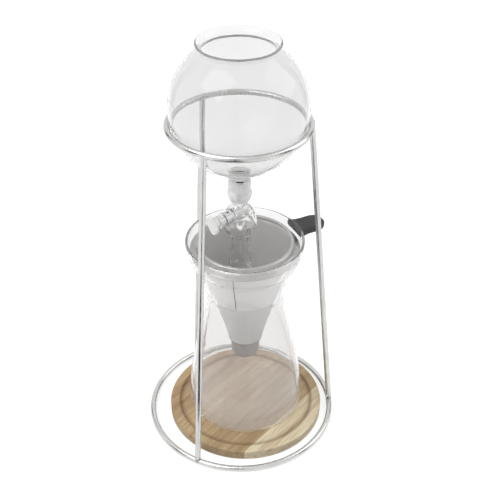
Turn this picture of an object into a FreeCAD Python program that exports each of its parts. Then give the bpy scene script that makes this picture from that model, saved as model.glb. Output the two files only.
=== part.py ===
# Cold drip coffee tower: a glass globe of water in a three-legged steel stand,
# a dripping valve under it, a steel cone filter and a waisted glass carafe on a
# wooden disc.  Millimetres, +Z up, origin on the table at the stand's axis.
# A leg stands on +X, and the other two stand a third of a turn either side of -X.
import FreeCAD, Part
import os
import math
import Sketcher
from FreeCAD import Vector, Rotation, Placement

os.makedirs("parts", exist_ok=True)
doc = FreeCAD.newDocument("cold_drip_tower")
sheet = doc.addObject("Spreadsheet::Sheet", "Sizes")
ALIASES = []
NODES = []


class Dim:
    """A length that knows its value and the spreadsheet formula it comes from."""

    def __init__(self, value, text):
        self.value = value
        self.text = text

    def _join(self, sign, other, value):
        other_text = other.text if isinstance(other, Dim) else str(other)
        return Dim(value, "(" + self.text + " " + sign + " " + other_text + ")")

    def __add__(self, other):
        return self._join("+", other, self.value + number(other))

    def __sub__(self, other):
        return self._join("-", other, self.value - number(other))

    def __mul__(self, other):
        return self._join("*", other, self.value * number(other))

    def __truediv__(self, other):
        return self._join("/", other, self.value / number(other))


def number(length):
    return length.value if isinstance(length, Dim) else float(length)


def hypotenuse_side(longest, side):
    """The other side of a right triangle, as a formula."""
    value = math.sqrt(number(longest) ** 2 - number(side) ** 2)
    return Dim(value, "sqrt(pow(%s; 2) - pow(%s; 2))" % (longest.text, side.text))


def hypotenuse(side, other):
    """The longest side of a right triangle, as a formula."""
    value = math.hypot(number(side), number(other))
    return Dim(value, "sqrt(pow(%s; 2) + pow(%s; 2))" % (side.text, other.text))


def size(alias, value):
    """One driving dimension: a row of the spreadsheet with its own alias."""
    ALIASES.append(alias)
    row = str(len(ALIASES))
    sheet.set("A" + row, alias)
    sheet.set("B" + row, str(value))
    sheet.setAlias("B" + row, alias)
    return Dim(float(value), "Sizes." + alias)


# Carafe blown in one piece: heights are chained, each from the one below
carafe_wall = size("carafe_wall", 2.6)
carafe_base_radius = size("carafe_base_radius", 62.2)
carafe_base_round = size("carafe_base_round", 12.0)
carafe_waist_radius = size("carafe_waist_radius", 39.3)
carafe_waist_height = size("carafe_waist_height", 162.0)
carafe_shoulder_out = size("carafe_shoulder_out", 12.1)
carafe_shoulder_rise = size("carafe_shoulder_rise", 39.0)
carafe_collar_out = size("carafe_collar_out", 7.2)
carafe_collar_rise = size("carafe_collar_rise", 11.0)
carafe_lip_out = size("carafe_lip_out", 1.8)
carafe_lip_rise = size("carafe_lip_rise", 17.0)
carafe_flask_curve = size("carafe_flask_curve", 900.0)
handle_azimuth = size("handle_azimuth", 27.0)
carafe_shoulder_radius = carafe_waist_radius + carafe_shoulder_out
carafe_shoulder_height = carafe_waist_height + carafe_shoulder_rise
carafe_collar_radius = carafe_shoulder_radius + carafe_collar_out
carafe_collar_height = carafe_shoulder_height + carafe_collar_rise
carafe_lip_radius = carafe_collar_radius + carafe_lip_out
carafe_lip_height = carafe_collar_height + carafe_lip_rise

# Glass ear on the lip and the soft grip on it
ear_length = size("ear_length", 24.0)
ear_width = size("ear_width", 15.0)
ear_thickness = size("ear_thickness", 3.6)
ear_drop = size("ear_drop", 5.6)
grip_gap = size("grip_gap", 0.1)
grip_end_skin = size("grip_end_skin", 7.0)
grip_side_skin = size("grip_side_skin", 4.0)
grip_flare = size("grip_flare", 3.5)
grip_face_skin = size("grip_face_skin", 2.5)
grip_round = size("grip_round", 2.4)
grip_flare_share = size("grip_flare_share", 0.3)
grip_length = ear_length + grip_end_skin
grip_width = ear_width + grip_side_skin * 2
grip_flare_width = grip_width + grip_flare * 2
grip_thickness = ear_thickness + grip_face_skin * 2

# Wooden disc, which lies loose in the base hoop with the carafe on it
disc_shift = size("disc_shift", 5.0)
disc_foot_room = size("disc_foot_room", 11.6)
disc_border = size("disc_border", 11.0)
disc_thickness = size("disc_thickness", 11.4)
disc_recess_depth = size("disc_recess_depth", 1.0)
disc_edge_round = size("disc_edge_round", 1.5)
disc_recess_radius = carafe_base_radius + disc_foot_room
disc_radius = disc_recess_radius + disc_border

# Globe that holds the water
globe_radius = size("globe_radius", 66.2)
globe_wall = size("globe_wall", 2.2)
globe_seat_gap = size("globe_seat_gap", 0.3)
mouth_neck_radius = size("mouth_neck_radius", 35.0)
mouth_flare = size("mouth_flare", 5.5)
mouth_height = size("mouth_height", 6.5)
outlet_blend = size("outlet_blend", 9.0)
stem_radius = size("stem_radius", 8.0)
stem_wall = size("stem_wall", 2.4)
stem_length = size("stem_length", 18.0)
mouth_rim_radius = mouth_neck_radius + mouth_flare

# Stand of welded round rod, made round the disc and up to the globe
rod_radius = size("rod_radius", 3.0)
hoop_room = size("hoop_room", 15.2)
globe_hoop_room = size("globe_hoop_room", 1.2)
stand_rise = size("stand_rise", 130.0)
leg_foot_out = size("leg_foot_out", 1.0)
leg_head_out = size("leg_head_out", 3.2)
leg_head_rise = size("leg_head_rise", 6.5)
base_ring_radius = disc_radius + hoop_room
top_ring_radius = globe_radius + globe_hoop_room
top_ring_height = carafe_lip_height + stand_rise
leg_foot_radius = base_ring_radius + leg_foot_out
leg_head_radius = top_ring_radius + leg_head_out

# Silicone sleeve that joins the globe's stem to the valve
sleeve_seal_room = size("sleeve_seal_room", 1.9)
sleeve_skin = size("sleeve_skin", 1.2)
sleeve_bulge_out = size("sleeve_bulge_out", 0.8)
sleeve_waist_in = size("sleeve_waist_in", 0.6)
sleeve_foot_in = size("sleeve_foot_in", 1.5)
sleeve_lip_round = size("sleeve_lip_round", 0.6)
sleeve_top_drop = size("sleeve_top_drop", 4.0)
sleeve_tube_length = size("sleeve_tube_length", 17.0)
sleeve_bulge_length = size("sleeve_bulge_length", 12.5)
sleeve_pocket_depth = size("sleeve_pocket_depth", 9.0)
sleeve_gap = size("sleeve_gap", 0.08)
window_width = size("window_width", 8.4)
window_height = size("window_height", 4.0)
window_drop = size("window_drop", 5.0)
stem_gap = size("stem_gap", 2.0)
sleeve_pocket_radius = stem_radius + sleeve_seal_room
sleeve_radius = sleeve_pocket_radius + sleeve_skin
sleeve_bulge_radius = sleeve_radius + sleeve_bulge_out
sleeve_waist_radius = sleeve_radius - sleeve_waist_in
sleeve_foot_radius = sleeve_radius - sleeve_foot_in

# Glass valve: bell, drip tube, side arm and bores
bell_radius = size("bell_radius", 16.6)
bell_wall = size("bell_wall", 1.8)
bell_shoulder_drop = size("bell_shoulder_drop", 17.0)
bell_drop = size("bell_drop", 35.0)
bell_foot_drop = size("bell_foot_drop", 54.0)
bell_curve = size("bell_curve", 40.0)
bell_side_curve = size("bell_side_curve", 22.8)
drip_tube_radius = size("drip_tube_radius", 11.2)
drip_tube_end_drop = size("drip_tube_end_drop", 94.0)
tip_bore_radius = size("tip_bore_radius", 1.4)
tip_wall = size("tip_wall", 2.8)
tip_end_wall = size("tip_end_wall", 0.9)
tip_taper = size("tip_taper", 8.4)
tip_end_drop = size("tip_end_drop", 50.0)
arm_drop = size("arm_drop", 28.0)
arm_length = size("arm_length", 30.5)
arm_back = size("arm_back", 8.5)
arm_bore_radius = size("arm_bore_radius", 4.5)
arm_wall = size("arm_wall", 2.5)
arm_bore_back = size("arm_bore_back", 6.0)
arm_mouth_step = size("arm_mouth_step", 1.1)
arm_mouth_depth = size("arm_mouth_depth", 5.0)
arm_azimuth = size("arm_azimuth", -139.0)
arm_radius = arm_bore_radius + arm_wall
arm_mouth_radius = arm_bore_radius + arm_mouth_step
tip_radius = tip_bore_radius + tip_wall

# Plug, rings, gland and handle of the valve
running_gap = size("running_gap", 0.05)
end_gap = size("end_gap", 0.3)
plug_shoulder = size("plug_shoulder", 1.1)
groove_depth = size("groove_depth", 1.2)
groove_width = size("groove_width", 1.6)
inner_groove_at = size("inner_groove_at", 9.0)
outer_groove_at = size("outer_groove_at", 21.0)
handle_tilt = size("handle_tilt", 38.0)
handle_hub_wall = size("handle_hub_wall", 1.6)
handle_hub_step = size("handle_hub_step", 1.0)
handle_hub_length = size("handle_hub_length", 3.2)
handle_bar_length = size("handle_bar_length", 19.0)
handle_bar_width = size("handle_bar_width", 9.4)
handle_bar_depth = size("handle_bar_depth", 5.0)
handle_bar_round = size("handle_bar_round", 1.5)
handle_socket_depth = size("handle_socket_depth", 4.5)
plug_neck_radius = arm_bore_radius - plug_shoulder
handle_hub_radius = plug_neck_radius + handle_hub_wall

# Cone filter of pressed and woven steel, hung from the carafe's collar
filter_sheet = size("filter_sheet", 0.8)
filter_weave = size("filter_weave", 0.6)
filter_rim_sink = size("filter_rim_sink", 2.0)
filter_rim_radius = size("filter_rim_radius", 49.8)
filter_rim_width = size("filter_rim_width", 3.2)
filter_rim_drop = size("filter_rim_drop", 6.0)
filter_flange_drop = size("filter_flange_drop", 8.5)
filter_seat_gap = size("filter_seat_gap", 0.3)
filter_hem_width = size("filter_hem_width", 4.2)
filter_shell_depth = size("filter_shell_depth", 59.0)
filter_cone_depth = size("filter_cone_depth", 100.0)
filter_cone_end_radius = size("filter_cone_end_radius", 16.6)
filter_lap = size("filter_lap", 0.1)
filter_cup_step = size("filter_cup_step", 2.2)
filter_cup_round = size("filter_cup_round", 9.0)
filter_cup_depth = size("filter_cup_depth", 24.0)
filter_rim_height = carafe_lip_height - filter_rim_sink
filter_cone_radius = filter_rim_radius - filter_hem_width
filter_shell_end_height = filter_rim_height - filter_shell_depth
filter_cone_end_height = filter_rim_height - filter_cone_depth
filter_cup_radius = filter_cone_end_radius - filter_cup_step
filter_cup_end_height = filter_cone_end_height - filter_cup_depth

doc.recompute()


class Arc:
    """A round stretch between two corners; bulge +1 puts its centre on the left."""

    def __init__(self, radius, bulge):
        self.radius = radius
        self.bulge = bulge


class HalfRound(Arc):
    """A half circle from one corner to the next."""

    def __init__(self, bulge=1):
        super().__init__(None, bulge)


def arc_geometry(start, end, radius, bulge):
    """A circular edge from start to end."""
    chord = end - start
    middle = (start + end) * 0.5
    left = Vector(-chord.y, chord.x, 0).normalize()
    if radius is None:
        radius = chord.Length / 2
    rise = math.sqrt(max(radius ** 2 - (chord.Length / 2) ** 2, 0.0))
    centre = middle + left * (rise * bulge)
    first = math.atan2(start.y - centre.y, start.x - centre.x)
    last = math.atan2(end.y - centre.y, end.x - centre.x)
    if bulge < 0:
        first, last = last, first
    if last < first:
        last += 2 * math.pi
    circle = Part.Circle(centre, Vector(0, 0, 1), radius)
    return Part.ArcOfCircle(circle, first, last)


def plane_of(body, role):
    for feature in body.Origin.OriginFeatures:
        if feature.Role == role:
            return feature
    raise ValueError("no plane " + role)


def pin_corner(sketch, geo, pos, across, up):
    """Fixes one end of an edge at named distances from the sketch's origin."""
    for length, kind, axis in ((across, "DistanceX", -2), (up, "DistanceY", -1)):
        if abs(number(length)) < 1e-9:
            sketch.addConstraint(Sketcher.Constraint("PointOnObject", geo, pos, axis))
            continue
        rule = Sketcher.Constraint(kind, -1, 1, geo, pos, number(length))
        index = sketch.addConstraint(rule)
        if isinstance(length, Dim):
            sketch.setExpression("Constraints[%d]" % index, length.text)


def draw_outline(body, label, role, outline, lift=None):
    """A closed sketch of lines and arcs; corners are (across, up) pairs."""
    sketch = body.newObject("Sketcher::SketchObject", label)
    sketch.AttachmentSupport = [(plane_of(body, role), "")]
    sketch.MapMode = "FlatFace"
    if lift is not None:
        sketch.AttachmentOffset = Placement(Vector(0, 0, number(lift)), Rotation())
        if isinstance(lift, Dim):
            sketch.setExpression("AttachmentOffset.Base.z", lift.text)
    corners = [item for item in outline if not isinstance(item, Arc)]
    arcs = {}
    for index, item in enumerate(outline):
        if isinstance(item, Arc):
            before = sum(1 for other in outline[:index] if not isinstance(other, Arc))
            arcs[before - 1] = item
    points = [Vector(number(corner[0]), number(corner[1]), 0) for corner in corners]
    ends = []
    for index, start in enumerate(points):
        end = points[(index + 1) % len(points)]
        arc = arcs.get(index)
        if arc is None:
            geo = sketch.addGeometry(Part.LineSegment(start, end), False)
            ends.append((geo, 1, 2))
        else:
            radius = None if arc.radius is None else number(arc.radius)
            edge = arc_geometry(start, end, radius, arc.bulge)
            geo = sketch.addGeometry(edge, False)
            ends.append((geo, 1, 2) if arc.bulge > 0 else (geo, 2, 1))
    for index in range(len(ends)):
        geo, _, last = ends[index]
        follower, first, _ = ends[(index + 1) % len(ends)]
        sketch.addConstraint(Sketcher.Constraint("Coincident", geo, last, follower, first))
    for index, corner in enumerate(corners):
        geo, first, _ = ends[index]
        pin_corner(sketch, geo, first, corner[0], corner[1])
    for index, arc in arcs.items():
        geo = ends[index][0]
        if arc.radius is None:
            sketch.addConstraint(Sketcher.Constraint("Symmetric", geo, 1, geo, 2, geo, 3))
            continue
        rule = Sketcher.Constraint("Radius", geo, number(arc.radius))
        place = sketch.addConstraint(rule)
        if isinstance(arc.radius, Dim):
            sketch.setExpression("Constraints[%d]" % place, arc.radius.text)
    return sketch


def new_body(label):
    body = doc.addObject("PartDesign::Body", label)
    body.Label = label
    return body


def node(piece, label):
    """Registers a finished piece under the name of its file."""
    piece.Label = label
    NODES.append(piece)
    return piece


def turned(label, outline, axis="V_Axis"):
    """A solid of revolution; the outline lies in the XZ plane."""
    body = new_body(label)
    sketch = draw_outline(body, label + "_profile", "XZ_Plane", outline)
    turn = body.newObject("PartDesign::Revolution", label + "_turn")
    turn.Profile = sketch
    turn.ReferenceAxis = (sketch, [axis])
    turn.Angle = 360.0
    return body


def bind(piece, prop, length):
    """Ties a property of a primitive to the sheet."""
    setattr(piece, prop, number(length))
    if isinstance(length, Dim):
        piece.setExpression(prop, length.text)


def cylinder(name, radius, length, place):
    rod = doc.addObject("Part::Cylinder", name)
    bind(rod, "Radius", radius)
    bind(rod, "Height", length)
    rod.Placement = place
    return rod


def cut(name, base, tool):
    result = doc.addObject("Part::Cut", name)
    result.Base = base
    result.Tool = tool
    return result


def fuse(name, pieces):
    result = doc.addObject("Part::MultiFuse", name)
    result.Shapes = pieces
    result.Refine = True
    return result


ALONG_X = Rotation(Vector(0, 1, 0), 90)


def ring(label, radius, height):
    """A hoop of the stand's rod."""
    hoop = doc.addObject("Part::Torus", label)
    bind(hoop, "Radius1", radius)
    bind(hoop, "Radius2", rod_radius)
    hoop.Placement = Placement(Vector(0, 0, number(height)), Rotation())
    hoop.setExpression("Placement.Base.z", height.text)
    return node(hoop, label)


leg_lean_run = leg_foot_radius - leg_head_radius
leg_climb = top_ring_height - rod_radius
leg_length = hypotenuse(leg_lean_run, leg_climb) + leg_head_rise - rod_radius


def leg(label, azimuth, base_hoop, top_hoop):
    """A straight rod, coped on both hoops, with its round head above the top one."""
    rod = turned(label + "_rod", [
        (0, 0),
        (rod_radius, 0),
        (rod_radius, leg_length),
        Arc(rod_radius, 1),
        (0, leg_length + rod_radius),
    ])
    lean = Vector(-number(leg_lean_run), 0, number(leg_climb))
    foot = Vector(number(leg_foot_radius), 0, number(rod_radius))
    turn = Rotation(Vector(0, 0, 1), azimuth)
    rod.Placement = Placement(turn.multVec(foot), turn * Rotation(Vector(0, 0, 1), lean))
    footed = cut(label + "_footed", rod, base_hoop)
    return node(cut(label, footed, top_hoop), label)


def stand():
    base_hoop = ring("base_ring", base_ring_radius, rod_radius)
    top_hoop = ring("top_ring", top_ring_radius, top_ring_height)
    for label, azimuth in (("leg_right", 0), ("leg_back", 120), ("leg_front", 240)):
        leg(label, azimuth, base_hoop, top_hoop)


# The globe rests in the top hoop; everything under it hangs from its stem.
globe_reach = globe_radius + rod_radius + globe_seat_gap
globe_centre = top_ring_height + hypotenuse_side(globe_reach, top_ring_radius)
globe_inner = globe_radius - globe_wall
stem_inner = stem_radius - stem_wall
outlet_ring = stem_radius + outlet_blend
stem_end = globe_centre - globe_radius - stem_length
valve_top = stem_end - stem_gap
sleeve_top = globe_centre - globe_radius - sleeve_top_drop
sleeve_joint = sleeve_top - sleeve_tube_length
sleeve_end = sleeve_joint - sleeve_bulge_length
arm_height = valve_top - arm_drop


def globe():
    """A blown sphere with a flared mouth and a drawn stem."""
    neck_level = hypotenuse_side(globe_radius, mouth_neck_radius) + globe_centre
    inner_neck = mouth_neck_radius - globe_wall
    inner_level = hypotenuse_side(globe_inner, inner_neck) + globe_centre
    rim_level = neck_level + mouth_height
    outer_outlet = globe_centre - hypotenuse_side(globe_radius, outlet_ring)
    inner_outlet_ring = outlet_ring - globe_wall
    inner_outlet = globe_centre - hypotenuse_side(globe_inner, inner_outlet_ring)
    outline = [
        (stem_radius, stem_end),
        (stem_radius, outer_outlet - outlet_blend),
        Arc(outlet_blend, -1),
        (outlet_ring, outer_outlet),
        Arc(globe_radius, 1),
        (mouth_neck_radius, neck_level),
        Arc(mouth_height, -1),
        (mouth_rim_radius, rim_level - globe_wall / 2),
        Arc(globe_wall, 1),
        (mouth_rim_radius - globe_wall, rim_level),
        Arc(mouth_height + globe_wall, 1),
        (inner_neck, inner_level),
        Arc(globe_inner, -1),
        (inner_outlet_ring, inner_outlet),
        Arc(outlet_blend + globe_wall, 1),
        (stem_inner, outer_outlet - outlet_blend),
        (stem_inner, stem_end),
    ]
    return node(turned("globe", outline), "globe")


def neck_sleeve():
    """A moulded soft sleeve with a bulged lower end and an oval window."""
    grip = stem_radius + sleeve_gap
    pocket_end = sleeve_top - sleeve_pocket_depth
    outline = [
        (sleeve_pocket_radius, sleeve_top),
        (sleeve_pocket_radius, pocket_end),
        (grip, pocket_end - (sleeve_pocket_radius - grip)),
        (grip, sleeve_end),
        (sleeve_foot_radius, sleeve_end),
        Arc(sleeve_bulge_length, 1),
        (sleeve_bulge_radius, sleeve_end + sleeve_bulge_length * 0.5),
        Arc(sleeve_bulge_length * 0.6, 1),
        (sleeve_waist_radius, sleeve_joint),
        (sleeve_radius, sleeve_joint + sleeve_waist_in * 3),
        (sleeve_radius, sleeve_top - sleeve_lip_round),
        Arc(sleeve_lip_round, 1),
        (sleeve_radius - sleeve_lip_round, sleeve_top),
    ]
    body = turned("neck_sleeve", outline)
    half_run = (window_width - window_height) / 2
    half_height = window_height / 2
    level = sleeve_top - window_drop
    oval = [
        (half_run, level - half_height),
        HalfRound(),
        (half_run, level + half_height),
        (half_run * -1, level + half_height),
        HalfRound(),
        (half_run * -1, level - half_height),
    ]
    sketch = draw_outline(body, "window_outline", "XZ_Plane", oval)
    window = body.newObject("PartDesign::Pocket", "window_pocket")
    window.Profile = sketch
    window.Type = "Length"
    bind(window, "Length", sleeve_radius * 1.5)
    window.Reversed = True
    return node(body, "neck_sleeve")


def stem_o_ring():
    """The seal in the sleeve's pocket, which shows black through the window."""
    thickness = (sleeve_pocket_radius - stem_radius - sleeve_gap * 2) / 2
    seal = doc.addObject("Part::Torus", "stem_o_ring")
    bind(seal, "Radius2", thickness)
    bind(seal, "Radius1", stem_radius + sleeve_gap + thickness)
    level = sleeve_top - window_drop
    seal.Placement = Placement(Vector(0, 0, number(level)), Rotation())
    seal.setExpression("Placement.Base.z", level.text)
    return node(seal, "stem_o_ring")


def swing(piece, label, lift=None, roll=0.0):
    """Turns a valve piece drawn along +X to the arm's azimuth."""
    yaw = Rotation(Vector(0, 0, 1), number(arm_azimuth))
    tilt = Rotation(Vector(1, 0, 0), roll)
    height = 0.0 if lift is None else number(lift)
    piece.Placement = Placement(Vector(0, 0, height), yaw * tilt)
    return node(piece, label)


def valve_body():
    """Blown bell and drip tube with the dripping tip inside and the side arm across."""
    shoulder = valve_top - bell_shoulder_drop
    widest = valve_top - bell_drop
    bell_foot = valve_top - bell_foot_drop
    tube_end = valve_top - drip_tube_end_drop
    tip_end = valve_top - tip_end_drop
    inner_bell = bell_radius - bell_wall
    inner_tube = drip_tube_radius - bell_wall
    inner_stem = stem_radius - bell_wall
    outline = [
        (stem_radius, valve_top),
        (stem_inner, valve_top),
        (stem_inner, shoulder + stem_inner),
        (tip_bore_radius, shoulder + tip_bore_radius),
        (tip_bore_radius, tip_end),
        (tip_bore_radius + tip_end_wall, tip_end),
        (tip_radius, tip_end + tip_taper),
        (tip_radius, shoulder - bell_wall),
        (inner_stem, shoulder - bell_wall),
        Arc(bell_curve - bell_wall, -1),
        (inner_bell, widest),
        Arc(bell_side_curve - bell_wall, -1),
        (inner_tube, bell_foot),
        (inner_tube, tube_end),
        (drip_tube_radius, tube_end),
        (drip_tube_radius, bell_foot),
        Arc(bell_side_curve, 1),
        (bell_radius, widest),
        Arc(bell_curve, 1),
        (stem_radius, shoulder),
    ]
    bell = turned("valve_bell", outline)
    at_arm = number(arm_height)
    back = Placement(Vector(-number(arm_back), 0, at_arm), ALONG_X)
    arm = cylinder("side_arm", arm_radius, arm_length + arm_back, back)
    blown = fuse("valve_blown", [bell, arm])
    bore_from = Placement(Vector(-number(arm_bore_back), 0, at_arm), ALONG_X)
    bore = cylinder("arm_bore", arm_bore_radius, arm_length + arm_bore_back + 1, bore_from)
    mouth_from = Placement(
        Vector(number(arm_length) - number(arm_mouth_depth), 0, at_arm), ALONG_X)
    mouth = cylinder("arm_mouth", arm_mouth_radius, arm_mouth_depth + 1, mouth_from)
    way_from = Placement(Vector(0, 0, number(tip_end) - 1), Rotation())
    way = cylinder("flow_way", tip_bore_radius, tip_end_drop - bell_shoulder_drop + 2, way_from)
    bored = cut("valve_body", blown, fuse("valve_bores", [bore, mouth, way]))
    return swing(bored, "valve_body")


plug_radius = arm_bore_radius - running_gap
plug_back = arm_bore_back - end_gap
gland_start = arm_length - arm_mouth_depth + end_gap
handle_start = arm_length + end_gap
bar_start = handle_start + handle_hub_length


def valve_plug():
    """The plug that turns in the arm, with two seal grooves and a cross bore."""
    groove_radius = plug_radius - groove_depth
    shoulder = gland_start - end_gap
    outline = [
        (plug_back * -1, 0),
        (plug_back * -1, plug_radius),
        (inner_groove_at, plug_radius),
        (inner_groove_at, groove_radius),
        (inner_groove_at + groove_width, groove_radius),
        (inner_groove_at + groove_width, plug_radius),
        (outer_groove_at, plug_radius),
        (outer_groove_at, groove_radius),
        (outer_groove_at + groove_width, groove_radius),
        (outer_groove_at + groove_width, plug_radius),
        (shoulder, plug_radius),
        (shoulder, plug_neck_radius),
        (handle_start + handle_socket_depth, plug_neck_radius),
        (handle_start + handle_socket_depth, 0),
    ]
    body = turned("plug_blank", outline, "H_Axis")
    way_from = Placement(Vector(0, 0, -number(arm_bore_radius) - 1), Rotation())
    way = cylinder("plug_way", tip_bore_radius, arm_bore_radius * 2 + 2, way_from)
    plug = cut("valve_plug", body, way)
    return swing(plug, "valve_plug", arm_height, number(handle_tilt))


def plug_seal(label, groove_at):
    """A rubber ring that fills one groove of the plug."""
    thickness = groove_depth / 2 - running_gap
    seal = doc.addObject("Part::Torus", label)
    bind(seal, "Radius2", thickness)
    bind(seal, "Radius1", plug_radius - groove_depth / 2)
    middle = number(groove_at + groove_width / 2)
    yaw = Rotation(Vector(0, 0, 1), number(arm_azimuth))
    centre = yaw.multVec(Vector(middle, 0, 0)) + Vector(0, 0, number(arm_height))
    seal.Placement = Placement(centre, yaw * ALONG_X)
    return node(seal, label)


def plug_gland():
    """The bush in the arm's mouth that keeps the plug from sliding out."""
    outline = [
        (gland_start, plug_neck_radius + running_gap),
        (arm_length, plug_neck_radius + running_gap),
        (arm_length, arm_mouth_radius - running_gap),
        (gland_start, arm_mouth_radius - running_gap),
    ]
    return swing(turned("plug_gland", outline, "H_Axis"), "plug_gland", arm_height)


def valve_handle():
    """A round-ended cross bar on a hub, pressed on the plug's neck."""
    body = new_body("handle_bar")
    half_run = (handle_bar_length - handle_bar_width) / 2
    half_width = handle_bar_width / 2
    bar = [
        (half_width * -1, half_run * -1),
        HalfRound(),
        (half_width, half_run * -1),
        (half_width, half_run),
        HalfRound(),
        (half_width * -1, half_run),
    ]
    sketch = draw_outline(body, "bar_outline", "YZ_Plane", bar, bar_start)
    pad = body.newObject("PartDesign::Pad", "bar_pad")
    pad.Profile = sketch
    bind(pad, "Length", handle_bar_depth)
    doc.recompute()
    rounding = body.newObject("PartDesign::Fillet", "bar_round")
    rounding.Base = (pad, ["Edge%d" % (index + 1) for index in range(len(pad.Shape.Edges))])
    bind(rounding, "Radius", handle_bar_round)
    hub_outline = [
        (handle_start, plug_neck_radius + running_gap),
        (handle_start + handle_socket_depth, plug_neck_radius + running_gap),
        (handle_start + handle_socket_depth, 0),
        (bar_start + handle_bar_depth / 2, 0),
        (bar_start + handle_bar_depth / 2, handle_hub_radius - handle_hub_step),
        (bar_start, handle_hub_radius - handle_hub_step),
        (handle_start, handle_hub_radius),
    ]
    hub = turned("handle_hub", hub_outline, "H_Axis")
    whole = fuse("handle_whole", [body, hub])
    socket_from = Placement(Vector(number(handle_start) - 1, 0, 0), ALONG_X)
    socket = cylinder("handle_socket", plug_neck_radius + running_gap,
                      handle_socket_depth + 1, socket_from)
    handle = cut("valve_handle_cut", whole, socket)
    return swing(handle, "valve_handle", arm_height, number(handle_tilt))


# The carafe stands in the disc's recess and carries the filter on its collar.
recess_level = disc_thickness - disc_recess_depth


def on_disc(piece, label, azimuth=0.0):
    """Stands a piece on the disc's axis, which is a little off the hoop's."""
    turn = Rotation(Vector(0, 0, 1), azimuth)
    piece.Placement = Placement(Vector(number(disc_shift), 0, 0), turn)
    piece.setExpression("Placement.Base.x", disc_shift.text)
    return node(piece, label)


def wood_disc():
    """A turned disc with a shallow recess and eased edges."""
    soft = disc_edge_round
    outline = [
        (0, 0),
        (disc_radius - soft, 0),
        Arc(soft, 1),
        (disc_radius, soft),
        (disc_radius, disc_thickness - soft),
        Arc(soft, 1),
        (disc_radius - soft, disc_thickness),
        (disc_recess_radius + soft, disc_thickness),
        (disc_recess_radius, recess_level),
        (0, recess_level),
    ]
    return on_disc(turned("wood_disc", outline), "wood_disc")


def carafe():
    """Waisted flask with a funnel mouth, blown in one, and a drawn ear on its lip."""
    wall = carafe_wall
    base_ring = carafe_base_radius - carafe_base_round
    side_start = recess_level + carafe_base_round
    lip_bead = wall / 2
    inner_lift = wall * 0.4
    outline = [
        (0, recess_level),
        (base_ring, recess_level),
        Arc(carafe_base_round, 1),
        (carafe_base_radius, side_start),
        Arc(carafe_flask_curve, 1),
        (carafe_waist_radius, carafe_waist_height),
        (carafe_shoulder_radius, carafe_shoulder_height),
        (carafe_collar_radius, carafe_collar_height),
        (carafe_lip_radius, carafe_lip_height - lip_bead),
        HalfRound(),
        (carafe_lip_radius - wall, carafe_lip_height - lip_bead),
        (carafe_collar_radius - wall, carafe_collar_height + inner_lift),
        (carafe_shoulder_radius - wall, carafe_shoulder_height + inner_lift),
        (carafe_waist_radius - wall, carafe_waist_height),
        Arc(carafe_flask_curve - wall, -1),
        (carafe_base_radius - wall, side_start),
        Arc(carafe_base_round - wall, -1),
        (base_ring, recess_level + wall),
        (0, recess_level + wall),
    ]
    blown = turned("carafe_blown", outline)
    ear = new_body("carafe_ear")
    tail = ear_length - ear_width / 2
    start = carafe_lip_radius - wall * 0.8
    plan = [
        (start, ear_width * -0.5),
        (carafe_lip_radius + tail, ear_width * -0.5),
        HalfRound(),
        (carafe_lip_radius + tail, ear_width * 0.5),
        (start, ear_width * 0.5),
    ]
    low = carafe_lip_height - ear_drop - ear_thickness / 2
    sketch = draw_outline(ear, "ear_plan", "XY_Plane", plan, low)
    pad = ear.newObject("PartDesign::Pad", "ear_pad")
    pad.Profile = sketch
    bind(pad, "Length", ear_thickness)
    ear.Placement = Placement(Vector(0, 0, 0), Rotation(Vector(0, 0, 1), number(handle_azimuth)))
    return on_disc(fuse("carafe", [blown, ear]), "carafe")


def handle_grip():
    """A soft grip pulled over the glass ear, flared where it meets the lip."""
    body = new_body("grip_blank")
    start = carafe_lip_radius + grip_gap
    half_flare = grip_flare_width / 2
    half = grip_width / 2
    tail = carafe_lip_radius + grip_length - half
    flare_start = hypotenuse_side(start + grip_gap, half_flare)
    flare_length = grip_length * grip_flare_share
    narrow = start + flare_length
    plan = [
        (flare_start, half_flare * -1),
        Arc(flare_length * 3, -1),
        (narrow, half * -1),
        (tail, half * -1),
        HalfRound(),
        (tail, half),
        (narrow, half),
        Arc(flare_length * 3, -1),
        (flare_start, half_flare),
        Arc(start + grip_gap, -1),
    ]
    low = carafe_lip_height - ear_drop - grip_thickness / 2
    sketch = draw_outline(body, "grip_plan", "XY_Plane", plan, low)
    pad = body.newObject("PartDesign::Pad", "grip_pad")
    pad.Profile = sketch
    bind(pad, "Length", grip_thickness)
    doc.recompute()
    flat = [face for face in pad.Shape.Faces if abs(face.normalAt(0, 0).z) > 0.99]
    rim_names = []
    for index, edge in enumerate(pad.Shape.Edges, 1):
        if any(edge.isSame(other) for face in flat for other in face.Edges):
            rim_names.append("Edge%d" % index)
    rounding = body.newObject("PartDesign::Fillet", "grip_round_edges")
    rounding.Base = (pad, rim_names)
    bind(rounding, "Radius", grip_round)
    slot_body = new_body("grip_slot")
    slot_tail = carafe_lip_radius + ear_length - ear_width / 2
    slot_plan = [
        (start - 4, ear_width * -0.5 - grip_gap),
        (slot_tail, ear_width * -0.5 - grip_gap),
        HalfRound(),
        (slot_tail, ear_width * 0.5 + grip_gap),
        (start - 4, ear_width * 0.5 + grip_gap),
    ]
    slot_low = carafe_lip_height - ear_drop - ear_thickness / 2 - grip_gap
    slot_sketch = draw_outline(slot_body, "slot_plan", "XY_Plane", slot_plan, slot_low)
    slot_pad = slot_body.newObject("PartDesign::Pad", "slot_pad")
    slot_pad.Profile = slot_sketch
    bind(slot_pad, "Length", ear_thickness + grip_gap * 2)
    grip = cut("handle_grip", body, slot_body)
    return on_disc(grip, "handle_grip", number(handle_azimuth))


# The filter's flange rests on the taper inside the carafe's collar.
flange_level = filter_rim_height - filter_flange_drop


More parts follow.
